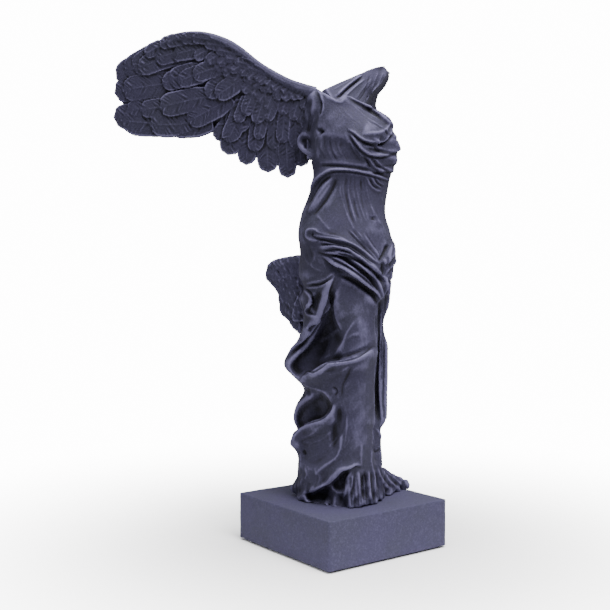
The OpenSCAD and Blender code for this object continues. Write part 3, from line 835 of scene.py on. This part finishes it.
def settleEdge(view, outline, inner, limit=6.0):
    # Measures the mesh's own outer edge at each height and moves it towards the outline, by limit mm at most.
    # What lies less than inner mm out from the axis on that side stays where it is
    across, up = view.spots.T
    line = smoothLine(outline)
    line = line[np.argsort(line[:, 1])]
    side = np.sign(line[:, 0].sum())
    heights = np.arange(line[0, 1], line[-1, 1] + edgeStep, edgeStep)
    level = np.round((up - heights[0]) / edgeStep).astype(int)
    inside = (level >= 0) & (level < len(heights))
    edge = np.full(len(heights), float(inner))
    np.maximum.at(edge, level[inside], side * across[inside])
    miss = np.clip(side * np.interp(heights, line[:, 1], line[:, 0]) - edge, -limit, limit)
    miss = np.convolve(np.pad(miss, 1, mode="edge"), (0.25, 0.5, 0.25), mode="valid")
    miss *= np.clip(np.minimum(heights - heights[0], heights[-1] - heights) / edgeFade, 0, 1)
    share = np.clip((side * across - inner) / np.maximum(np.interp(up, heights, edge) - inner, 1), 0, 1)
    move = side * share * np.interp(up, heights, miss, 0, 0)
    view.points = view.points + view.across * move[:, None]


def settleOutline(obj):
    view = Drawing(obj, shot["turn"], eyePoint)
    settleEdge(view, rightSideEdge, 10)
    settleEdge(view, frontEdge, 8)
    across, up = view.spots.T
    points = view.points
    over = np.clip(up - np.interp(across, *np.array(neckLine).T), 0, None)
    points[:, 2] -= figure["neckPress"] * over
    low = np.clip((figure["hemTop"] - points[:, 2]) / figure["hemFade"], 0, 1)
    points += view.normals * (low * figure["hemRough"] * crumple(points, 5.5, 5))[:, None]
    points[:, 2] = np.maximum(points[:, 2], figure["foot"])
    writePoints(obj, points)


def makeFigure():
    piece = joinAll(figureVolumes(), "drapedFigure")
    remesh(piece, figure["coarseGrain"])
    smoothMesh(piece, 3)
    settleOutline(piece)
    front = Drawing(piece, shot["turn"], eyePoint)
    for depth, soft, outline in sideHollows:
        front.hollow(outline, depth, soft)
    front.strokes(broadStrokes)
    front.press(2)
    left = Drawing(piece, figure["leftTurn"])
    for depth, soft, outline in leftHollows:
        left.hollow(outline, depth, soft)
    left.press(2)
    remesh(piece, figure["fineGrain"])
    smoothMesh(piece, 2, 0.4)
    front = Drawing(piece, shot["turn"], eyePoint, (0.04, 0.3))
    for table in (torsoFolds, mantleFolds, legFolds):
        front.strokes(table)
    for fan in fineFans:
        front.fan(*fan)
    front.press(0)
    left = Drawing(piece, figure["leftTurn"], None, (0.3, 0.6))
    left.strokes(leftFolds)
    left.press(0)
    back = Drawing(piece, shot["turn"] + 180, None, (0.2, 0.5))
    back.strokes(backFolds)
    for fan in backFans:
        back.fan(*fan)
    back.press(1)
    side = Drawing(piece, figure["sideTurn"], None, (0.4, 0.75))
    for fan in sideFans:
        side.fan(*fan)
    side.press(1)
    smoothMesh(piece, 1, 0.3)
    points = readPoints(piece)
    uneven = 0.025 * crumple(points, 2.6, 8) + 0.05 * crumple(points, 9, 9)
    points += readNormals(piece) * uneven[:, None]
    points[:, 2] = np.maximum(points[:, 2], figure["foot"])
    writePoints(piece, points)
    keepUnder(piece, figure["triangles"])
    storeRelief(piece)
    dressCasting(piece, castStoneFinish("castFigure"))
    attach(piece, "root")
    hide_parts("figure_body")
    print("draped figure:", len(piece.data.polygons), "faces")
    return piece


makeFigure()


# the wings

wing = {
    "grain": 0.5,           # voxel, mm
    "triangles": 150000,
    "layerStep": 1.0,       # how far each layer of feathers stands above the one below
    "crown": 1.25,
    "barbPitch": 2.5,
    "barbRise": 0.24,
    "rightTurn": 143,       # plan direction from +X towards +Y
    "leftTurn": 39,
    "leftOut": 8.5,
    "leftLean": 0.42,
    "rightLean": 0.25,
    "sweep": 7,
    "shaft": 0.28,
    "rim": 0.55,            # mm that a feather's edge stands up, and dish mm that its middle sinks
    "dish": 0.5,
    "blendAcross": 10,      # the left wing is smoothed further across than this and above blendUp
    "blendUp": 252,
    "blendRounds": 24,
    "topPress": 0.92,       # how far what stands above leftWingTop is pressed down to it
    "coreLean": 0.25,       # lean of the plain casting under the feathers
}

# root and tip (mm out from the axis, height), half width, layer, bow; the furthest tips lie lowest
feathers = [
    ((102, 297), (136.5, 282), 6.5, 0.6, 0.10),
    ((98, 300), (131, 285.5), 6.2, 1.2, 0.10),
    ((94, 300), (126, 287.5), 6.0, 1.9, 0.10),
    ((90, 296), (122.5, 287), 5.6, 2.7, 0.08),
    ((82, 298), (111.5, 292.5), 5.2, 3.4, 0.08),
    ((72, 296), (101, 294.5), 4.6, 3.9, 0.12),
    ((100, 281), (138.2, 274), 7.0, 0.6, 0.04),
    ((94, 279), (132.8, 275), 7.2, 1.6, 0.05),
    ((88, 283), (108, 278.6), 5.4, 2.7, 0.05),
    ((82, 285), (104, 280.5), 6.2, 3.2, 0.05),
    ((78, 285), (98.5, 279.5), 5.2, 3.8, 0.05),
    ((72, 287), (89, 282.4), 5.0, 4.4, 0.05),
    ((100, 263), (139.6, 260), 7.2, 0.6, -0.03),
    ((96, 268), (131, 263.4), 5.4, 1.4, 0.02),
    ((98, 257), (134.6, 258), 7.6, 1.2, -0.06),
    ((92, 267), (122.4, 263.6), 5.2, 2.1, 0.02),
    ((86, 257), (117, 255.4), 6.6, 2.2, -0.06),
    ((78, 256), (106, 254.4), 6.4, 1.7, -0.06),
    ((76, 271), (110.4, 265), 6.8, 3.2, 0.03),
    ((66, 270), (93.4, 256.6), 6.6, 3.0, -0.02),
    ((64, 280), (82, 272), 5.6, 3.9, 0.03),
    ((60, 280), (75.4, 270.4), 5.6, 4.6, 0.0),
    ((64, 262), (76.6, 246), 4.6, 0.8, 0.0),
    ((62, 267), (69.6, 237), 6.6, 1.6, -0.05),
    ((60, 268), (69.6, 244.5), 5.6, 2.6, -0.10),
    ((55, 264), (58.4, 230.8), 5.6, 1.4, -0.02),
    ((57, 270), (61.6, 250), 4.8, 2.6, -0.04),
    ((46, 260), (44.6, 226.2), 6.2, 1.5, 0.0),
    ((50, 264), (53, 238.6), 4.9, 2.6, -0.05),
    ((47, 262), (50.6, 245.6), 3.6, 3.5, -0.05),
    ((34, 260), (32.6, 222.8), 5.2, 1.6, 0.0),
    ((40, 262), (41.6, 240), 4.0, 2.2, 0.0),
    ((34, 262), (35.8, 243.2), 3.9, 3.0, 0.03),
    ((26, 256), (24.4, 229.4), 5.0, 1.2, 0.0),
    ((28, 262), (27.4, 240), 4.6, 2.2, 0.0),
    ((57, 270), (62.8, 255.4), 3.6, 3.6, 0.0),
    ((52, 274), (58.6, 259.6), 4.0, 4.2, 0.0),
    ((46, 270), (51.6, 254.6), 4.0, 4.1, 0.0),
    ((40, 268), (45, 256), 3.6, 4.1, 0.0),
    ((104, 300.5), (117.6, 295), 4.0, 3.4, 0.10),
    ((96, 302), (108.4, 300.6), 3.6, 4.0, 0.12),
    ((91, 302.6), (104.8, 301.6), 3.6, 4.5, 0.12),
    ((83, 302.4), (95.4, 303), 3.3, 4.7, 0.12),
    ((76, 301), (88.8, 303.4), 3.0, 5.0, 0.10),
    ((69, 297.6), (81.2, 300), 3.1, 4.9, 0.08),
    ((62, 293.2), (74.8, 296.4), 3.1, 4.9, 0.08),
    ((57, 289.4), (69.8, 291.8), 3.0, 4.8, 0.08),
    ((51, 285.4), (63.8, 290), 3.0, 5.0, 0.08),
    ((45, 281.4), (57, 286.6), 2.8, 4.9, 0.08),
]

# rows of small coverts: first tip, last tip, how many, length, half width, first and last direction, layer
covertRows = [
    ((88, 292), (40, 268), 9, 12, 3.4, -22, -64, 4.3),
    ((80, 290), (34, 267), 9, 11, 3.2, -24, -56, 4.6),
    ((76, 284.6), (44, 262), 7, 12, 3.4, -26, -62, 4.2),
    ((66, 284.6), (30, 268.6), 8, 10, 2.8, -26, -46, 4.9),
    ((66, 277.6), (30, 256), 7, 11, 3.4, -40, -76, 3.9),
    ((52, 279), (26, 268), 6, 9, 2.5, -24, -46, 4.8),
    ((36, 266), (20, 250), 4, 11, 3.6, -66, -88, 3.2),
    ((30, 268), (18, 258), 3, 9, 3.0, -50, -80, 4.0),
]

wingEdge = [(16, 271), (24, 273.4), (32, 276.4), (40, 280.8), (50, 286.6), (60, 294.8), (68, 299.8),
            (80, 303.8), (90, 304.8), (99, 304.2), (106, 301.8), (113, 298.2)]
wingEdgeRadii = (4.2, 4.0, 3.6, 3.3, 3.2, 3.3, 3.5, 3.6, 3.4, 3.0, 2.4, 1.6)

# the left wing's broad inner part, between two lines: across, height, depth as the camera sees them
webTop = [(-12, 274.4, -13), (0, 279.8, -28), (12, 284, -48), (20, 287.2, -66), (24.6, 287.6, -78)]
webFoot = [(-3, 260, -9), (8, 261, -14), (14.4, 264, -28), (18.6, 270.6, -46), (23.4, 277, -64),
           (26.4, 284, -76)]
leftWingEdge = [(33, 240), (30, 250), (25, 258), (19.5, 265), (21, 272), (25, 276), (28, 280), (29, 285),
                (27.5, 288.5), (25, 290)]
leftWingTop = [(-12, 274.6), (0, 280), (15, 286), (20, 289.4), (24, 290), (27, 289), (29, 286.4), (32, 284)]
leftWingFolds = [
    (1.1, 1.6, [(-2, 272), (4, 277.6), (12, 283.6)], "d"),
    (0.8, -2.2, [(-3, 270.4), (3, 275.6), (11, 282)]),
    (0.8, 0.9, [(1, 270), (7, 276), (14, 281.6)]),
    (0.7, -0.9, [(14, 272), (15.4, 278), (17, 283)]),
    (0.6, 0.5, [(8, 269), (12, 275), (18, 282)]),
    (0.6, 0.5, [(17, 272), (19, 279), (22, 286)]),
    (0.6, 0.4, [(21, 276), (23, 281), (25, 286)]),
    (0.5, -0.5, [(10, 268), (14, 273), (20, 281)]),
    (0.5, 0.4, [(13, 266.6), (17, 272), (23, 280)]),
    (0.6, 0.5, [(-6, 274.6), (2, 279), (10, 283.4)]),
]


def featherList(seed):
    draw = random.Random(seed)
    everyFeather = list(feathers)
    for first, last, count, length, half, turnA, turnB, layer in covertRows:
        for k in range(count):
            share = k / (count - 1)
            turn = math.radians(turnA + (turnB - turnA) * share + draw.uniform(-7, 7))
            tip = np.array(first) + (np.array(last) - np.array(first)) * share
            tip = tip + [draw.uniform(-0.9, 0.9), draw.uniform(-0.9, 0.9)]
            root = tip - length * np.array([math.cos(turn), math.sin(turn)])
            ceiling = np.interp(root[0], *np.array(wingEdge).T) - 1
            if root[1] > ceiling:
                root = root + (tip - root) * min(0.6, (root[1] - ceiling) / max(root[1] - tip[1], 1))
            halfWidth = half * draw.uniform(0.9, 1.12)
            level = layer + draw.uniform(-0.12, 0.12)
            everyFeather.append((tuple(root), tuple(tip), halfWidth, level, 0.06))
    return everyFeather


def featherTemplate():
    deselectAll()
    bpy.ops.mesh.primitive_grid_add(x_subdivisions=18, y_subdivisions=10, size=2)
    sheet = bpy.context.object
    applyModifier(sheet, "SOLIDIFY", thickness=1, offset=-1)
    points = readPoints(sheet) * mm
    shares = np.stack([(points[:, 0] + 1) / 2, points[:, 1], (points[:, 2] > -0.5).astype(float)], axis=1)
    return sheet, shares


def featherWidth(s, half, length):
    start = 1 - min(0.6, 1.25 * half / length)
    tip = np.sqrt(np.clip(1 - np.clip((s - start) / (1 - start), 0, 1) ** 2.2, 0, 1))
    return half * np.minimum(1, 0.72 + 0.9 * s) * tip


def featherHeight(s, t, layer):
    crown = wing["crown"] * np.sqrt(np.clip(1 - 0.9 * t * t, 0, 1))
    crown = crown * np.sqrt(np.clip((1.02 - s) / 0.12, 0, 1))
    return layer * wing["layerStep"] * (0.86 + 0.14 * s) + crown


def featherPoints(shares, feather, side):
    root, tip, half, layer, bow = feather
    root = np.array(root)
    along = np.array(tip) - root
    length = np.linalg.norm(along)
    across = np.array([-along[1], along[0]]) / length
    s, t, top = shares.T
    width = featherWidth(s, half, length)
    flat = root + along * s[:, None] + across * (t * width + bow * length * 4 * s * (1 - s) * 0.5)[:, None]
    height = np.where(top > 0.5, featherHeight(s, t, layer), -0.4)
    return np.stack([flat[:, 0], side * height, flat[:, 1]], axis=1)


def bladeMiddle(u):
    return np.interp(u, (15, 60, 100, 139), (250, 266, 278, 268))


def placeWing(local, turn, out, side, lean):
    # local is mm out from the axis, towards the wing's front face, and up
    u, v, z = local.T
    v = v - wing["sweep"] * (np.clip(u - 30, 0, None) / 109) ** 2 + lean * (z - bladeMiddle(u))
    a = math.radians(turn)
    x = (u + out) * math.cos(a) - side * v * math.sin(a)
    y = (u + out) * math.sin(a) + side * v * math.cos(a)
    return np.stack([x, y, z], axis=1)


def carveBarbs(points, normals, everyFeather, side):
    rise = np.zeros(len(points))
    best = np.full(len(points), 1.0)
    facing = side * normals[:, 1] > 0.25
    for root, tip, half, layer, bow in everyFeather:
        root = np.array(root)
        along = np.array(tip) - root
        length = np.linalg.norm(along)
        forward = along / length
        across = np.array([-forward[1], forward[0]])
        rel = points[:, [0, 2]] - root
        s = rel @ forward / length
        near = np.nonzero(facing & (s > 0.02) & (s < 1) & (np.abs(rel @ across) < half * 1.6))[0]
        s = s[near]
        width = np.maximum(featherWidth(s, half, length), 0.05)
        t = (rel[near] @ across - bow * length * 2 * s * (1 - s)) / width
        miss = np.abs(side * points[near, 1] - featherHeight(s, np.clip(t, -1, 1), layer))
        good = (np.abs(t) < 1) & (miss < best[near])
        rows, s, t, width = near[good], s[good], t[good], width[good]
        best[rows] = miss[good]
        shaft = wing["shaft"] * np.exp(-(t * width / 0.5) ** 2) * np.clip((0.93 - s) * 8, 0, 1)
        slant = 0.8 if (round(root[0] * 7 + tip[1] * 3) % 3) else 0.1
        lag = (slant * np.abs(t) + (1 - slant) * 0.6 * t) * width * 1.1
        lean = (s * length - lag) * 2 * math.pi / wing["barbPitch"]
        wobble = 1.1 * np.sin(lean * 0.37 + root[0]) + 0.8 * np.sin(t * 2.3 + lean * 0.21)
        strength = 0.65 + 0.6 * np.sin(lean * 0.23 + 3 * t + tip[0])
        barb = wing["barbRise"] * strength * np.sin(lean + wobble) * (1 - t ** 4)
        barb = barb * np.clip(np.abs(t) * width - 0.3, 0, 1)
        rim = wing["rim"] * np.exp(-((1 - np.abs(t)) * width / 0.55) ** 2)
        dish = -wing["dish"] * (1 - t * t) * np.clip(width / 5, 0, 1)
        rise[rows] = shaft + barb * min(1, half / 4) + rim + dish
    return rise


def liftWing(points, turn, out, side, lean):
    x, y, z = points.T
    a = math.radians(turn)
    u = x * math.cos(a) + y * math.sin(a) - out
    v = side * (y * math.cos(a) - x * math.sin(a))
    v = v + wing["sweep"] * (np.clip(u - 30, 0, None) / 109) ** 2 - lean * (z - bladeMiddle(u))
    return np.stack([u, v, z], axis=1)


def wingWeb(turn, out, side, lean):
    deselectAll()
    bpy.ops.mesh.primitive_grid_add(x_subdivisions=28, y_subdivisions=12, size=2)
    sheet = bpy.context.object
    points = readPoints(sheet) * mm
    along = (points[:, 0] + 1) / 2
    down = (points[:, 1:2] + 1) / 2
    lines = [smoothLine(line, 8) for line in (webTop, webFoot)]
    top, foot = [np.stack([np.interp(along, np.linspace(0, 1, len(line)), line[:, k])
                           for k in range(3)], axis=1) for line in lines]
    flat = top + (foot - top) * down
    flat[:, 2] += 2.5 * np.sin(math.pi * down[:, 0])
    world = np.array([onPlane(*spot) for spot in flat])
    writePoints(sheet, liftWing(world, turn, out, side, lean))
    applyModifier(sheet, "SOLIDIFY", thickness=6 * mm, offset=0)
    return sheet


def wingCore(node, turn, out, side):
    core = mergedCopy(node, "wingCore")
    u, v, z = liftWing(readPoints(core), turn, out, side, wing["coreLean"]).T
    middle = bladeMiddle(u)
    inward = np.clip((u - 18) / 10, 0, 1)
    z = middle + (z - middle) * (1 - 0.13 * inward)
    u = np.where(u > 60, 60 + (u - 60) * 0.93, u)
    writePoints(core, np.stack([u, v * (1 - 0.25 * inward), z], axis=1))
    return core


def makeWing(name, node, turn, out, side, lean, seed):
    frontFeathers = featherList(seed)
    backFeathers = featherList(seed + 1)
    sheet, shares = featherTemplate()
    pieces = [wingCore(node, turn, out, side)]
    for face, flock in ((1, frontFeathers), (-1, backFeathers)):
        for feather in flock:
            deselectAll()
            plume = bpy.data.objects.new("plume", sheet.data.copy())
            bpy.context.scene.collection.objects.link(plume)
            writePoints(plume, featherPoints(shares, feather, face))
            if face > 0:
                plume.data.flip_normals()
            pieces.append(plume)
    bpy.data.objects.remove(sheet)
    pieces.append(ball((88, 0, 285), (17, 4.6, 8)))
    pieces.append(ball((77, 0, 264), (10, 3.4, 7)))
    for v in (3.0, -2.0):
        if side > 0:
            pieces.append(rope([(u, v, z) for u, z in wingEdge], wingEdgeRadii))
        else:
            radii = (0.6, 1.4, 2.4) + wingEdgeRadii[6:]
            pieces.append(rope([(u, v * 0.6, z - 0.8) for u, z in wingEdge[3:]], radii))
    if side < 0:
        pieces.append(wingWeb(turn, out, side, lean))
    piece = joinAll(pieces, name)
    remesh(piece, wing["grain"])
    smoothMesh(piece, 2, 0.4)
    points = readPoints(piece)
    normals = readNormals(piece)
    edges = readEdges(piece)
    rise = carveBarbs(points, normals, frontFeathers, 1) + carveBarbs(points, normals, backFeathers, -1)
    points = points + soften(normals, edges, 2) * soften(rise, edges, 1, 0.3)[:, None]
    writePoints(piece, placeWing(points, turn, out, side, lean))
    if side < 0:
        piece.data.flip_normals()
        shoulder = Drawing(piece, shot["turn"], eyePoint)
        settleEdge(shoulder, leftWingEdge, 2, 8)
        across, up = shoulder.spots.T
        smooth = np.clip((across - wing["blendAcross"]) / 8, 0, 1)
        smooth = smooth * np.clip((up - wing["blendUp"]) / 26, 0, 1)
        smoothed = soften(shoulder.points, shoulder.edges, wing["blendRounds"])
        shoulder.points += (smoothed - shoulder.points) * smooth[:, None]
        over = np.clip(up - np.interp(across, *np.array(leftWingTop).T), 0, None)
        shoulder.points[:, 2] -= wing["topPress"] * over
        writePoints(piece, shoulder.points)
        shoulder.refresh()
        shoulder.strokes(leftWingFolds)
        shoulder.press(1)
    keepUnder(piece, wing["triangles"])
    storeRelief(piece, 4, 30, 0.12, 0.55)
    dressCasting(piece, wingStone)
    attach(piece, "root")
    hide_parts(node)
    print(name + ":", len(piece.data.polygons), "faces")
    return piece


# the wings take a little more painted highlight and shade than the figure
wingStone = castStoneFinish("castWings", 1.05, 1.08)
makeWing("rightWingCasting", "right_wing", wing["rightTurn"], 0, 1, wing["rightLean"], 11)
makeWing("leftWingCasting", "left_wing", wing["leftTurn"], wing["leftOut"], -1, wing["leftLean"], 23)


# the mantle's flying end

mantle = {
    "grain": 0.55,
    "scratches": 120,
    "pit": 0.11,
    "tuck": 4.5,            # mm that its inner side is drawn towards the figure
    "tuckFrom": -29,
}
mantleEdge = [(-44, 171), (-45.5, 167), (-46, 162), (-42, 157), (-39, 153), (-38, 146), (-37.5, 140),
              (-33, 136), (-29.5, 130), (-25, 122)]


def makeMantle():
    piece = mergedCopy("mantle_end", "mantleCasting")
    remesh(piece, mantle["grain"])
    view = Drawing(piece, shot["turn"], eyePoint)
    settleEdge(view, mantleEdge, 22)
    across, up = view.spots.T
    upper = np.clip((up - 145) / 10, 0, 1)
    tuck = mantle["tuck"] * np.clip((across - mantle["tuckFrom"] + 6 * upper) / 6, 0, 1)
    writePoints(piece, view.points + view.across * tuck[:, None])
    for turn, eye in ((shot["turn"], eyePoint), (shot["turn"] + 180, None)):
        face = Drawing(piece, turn, eye)
        draw = random.Random(31)
        for _ in range(mantle["scratches"]):
            spot = np.array([draw.uniform(-47, -24), draw.uniform(126, 176)])
            if turn > 0:
                spot[0] *= -1
            run = draw.uniform(1.5, 4.5) * np.array([0.55 + draw.uniform(-0.3, 0.3), -1])
            height = draw.choice((-1, -1, 1)) * draw.uniform(0.22, 0.5)
            face.stroke(draw.uniform(0.4, 0.7), height, [spot, spot + run])
        face.press(0)
    points = readPoints(piece)
    writePoints(piece, points + readNormals(piece) * (mantle["pit"] * crumple(points, 3.5, 12))[:, None])
    storeRelief(piece, 4, 30, 0.12, 0.9)
    dressCasting(piece, castStoneFinish("castMantle", 1.3))
    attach(piece, "root")
    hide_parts("mantle_end")
    print("mantle:", len(piece.data.polygons), "faces")


makeMantle()


# the plinth

plinth = {
    "grain": 0.7,
    "wear": 0.07,
}


def makePlinth():
    piece = mergedCopy("plinth", "plinthBlock")
    remesh(piece, plinth["grain"])
    smoothMesh(piece, 1, 0.3)
    points = readPoints(piece)
    inward = plinth["wear"] * (crumple(points, 6, 21) * 0.5 + crumple(points, 22, 22) * 0.5 - 1)
    writePoints(piece, points + readNormals(piece) * np.minimum(inward, 0)[:, None])
    storeRelief(piece, 2, 6, 0.5, 3.0)
    # the plinth takes less painted highlight and shade than the figure
    dressCasting(piece, castStoneFinish("castPlinth", 1.55, 0.7))
    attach(piece, "root")
    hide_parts("plinth")
    print("plinth:", len(piece.data.polygons), "faces")


makePlinth()


# felt and metal fittings, which keep the workshop shapes

def metalFinish(name, colour, dull, scratch):
    f = Finish(name)
    place = f.put("TexCoord", None, None, out=3)
    stretched = f.put("Mapping", None, {"Vector": place, "Scale": (1, 1, scratch)})
    line = f.noise(stretched, 900, 4, 0.7)
    stain = f.noise(place, 220, 4)
    darker = tuple(c * 0.45 for c in colour) + (1,)
    tone = f.mix(f.ramp(stain, 0.45, 0.75) * 0.6, colour + (1,), darker)
    rough = line * 0.25 + stain * 0.2 + dull
    return f.close(tone, rough, line, 0.00003, Metallic=1.0)


def feltFinish():
    f = Finish("darkFelt")
    place = f.put("TexCoord", None, None, out=3)
    fibre = f.noise(place, 1800, 5, 0.8)
    clump = f.noise(place, 300, 3)
    tone = f.mix(fibre, (0.006, 0.006, 0.007, 1), (0.035, 0.034, 0.038, 1))
    tone = f.mix(f.ramp(clump, 0.4, 0.7) * 0.4, tone, (0.012, 0.012, 0.016, 1))
    return f.close(tone, 0.9 + fibre * 0.1, fibre * 0.7 + clump, 0.0004, **{"Sheen_Weight": 0.25})


fittings = {
    "felt": feltFinish(),
    "steel": metalFinish("steel", (0.50, 0.51, 0.53), 0.22, 8),
    "brass": metalFinish("brass", (0.62, 0.45, 0.20), 0.2, 0.2),
}
fittingOf = {
    "felt_pad": "felt",
    "threaded_insert": "brass",
}
for name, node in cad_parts.items():
    if name not in ("figure_body", "right_wing", "left_wing", "mantle_end", "plinth"):
        node.data.materials.clear()
        node.data.materials.append(fittings[fittingOf.get(name, "steel")])
print("fittings dressed")


# floor and lamps

def makeFloor():
    deselectAll()
    bpy.ops.mesh.primitive_plane_add(size=8, location=(0, 0, 0))
    floor = bpy.context.object
    floor.name = "floor"
    f = Finish("paleFloor")
    place = f.put("TexCoord", None, None, out=3)
    tone = f.mix(f.noise(place, 3, 2), (0.95, 0.95, 0.96, 1), (0.98, 0.98, 0.98, 1))
    away = f.put("VectorMath", {"operation": "LENGTH"}, {0: place}, out=1)
    fade = 1 - f.ramp(away, 0.05, 0.40)      # melts into the white surround
    floor.data.materials.append(f.close(tone, 0.9, f.noise(place, 400, 2), 0.00002, Alpha=fade))


lampAim = (0, 0, 160)


def softLamp(name, turn, rise, distance, size, power, colour):
    _, back, _ = viewAxes(turn, rise)
    spot = np.array(lampAim) + back * distance
    bpy.ops.object.light_add(type="AREA", location=Vector(spot) * mm)
    lamp = bpy.context.object
    lamp.name = name
    lamp.rotation_euler = Vector(back).to_track_quat("Z", "Y").to_euler()
    lamp.data.size = size * mm
    lamp.data.energy = power
    lamp.data.color = colour


def studio():
    world = bpy.data.worlds.new("studio")
    bpy.context.scene.world = world
    world.use_nodes = True
    tree = world.node_tree
    sky = tree.nodes["Background"]
    sky.inputs["Color"].default_value = (1, 1, 1, 1)
    path = tree.nodes.new("ShaderNodeLightPath")
    seen = Num(tree, path.outputs["Is Camera Ray"]) * 14 + 0.5
    tree.links.new(seen.socket, sky.inputs["Strength"])
    softLamp("topLamp", 0, 78, 1100, 800, 33, (1, 1, 1))
    softLamp("keyLamp", -5, 44, 900, 360, 9, (1, 0.98, 1))
    softLamp("fillLamp", -95, 25, 1000, 700, 2.5, (0.95, 0.98, 1))


makeFloor()
studio()
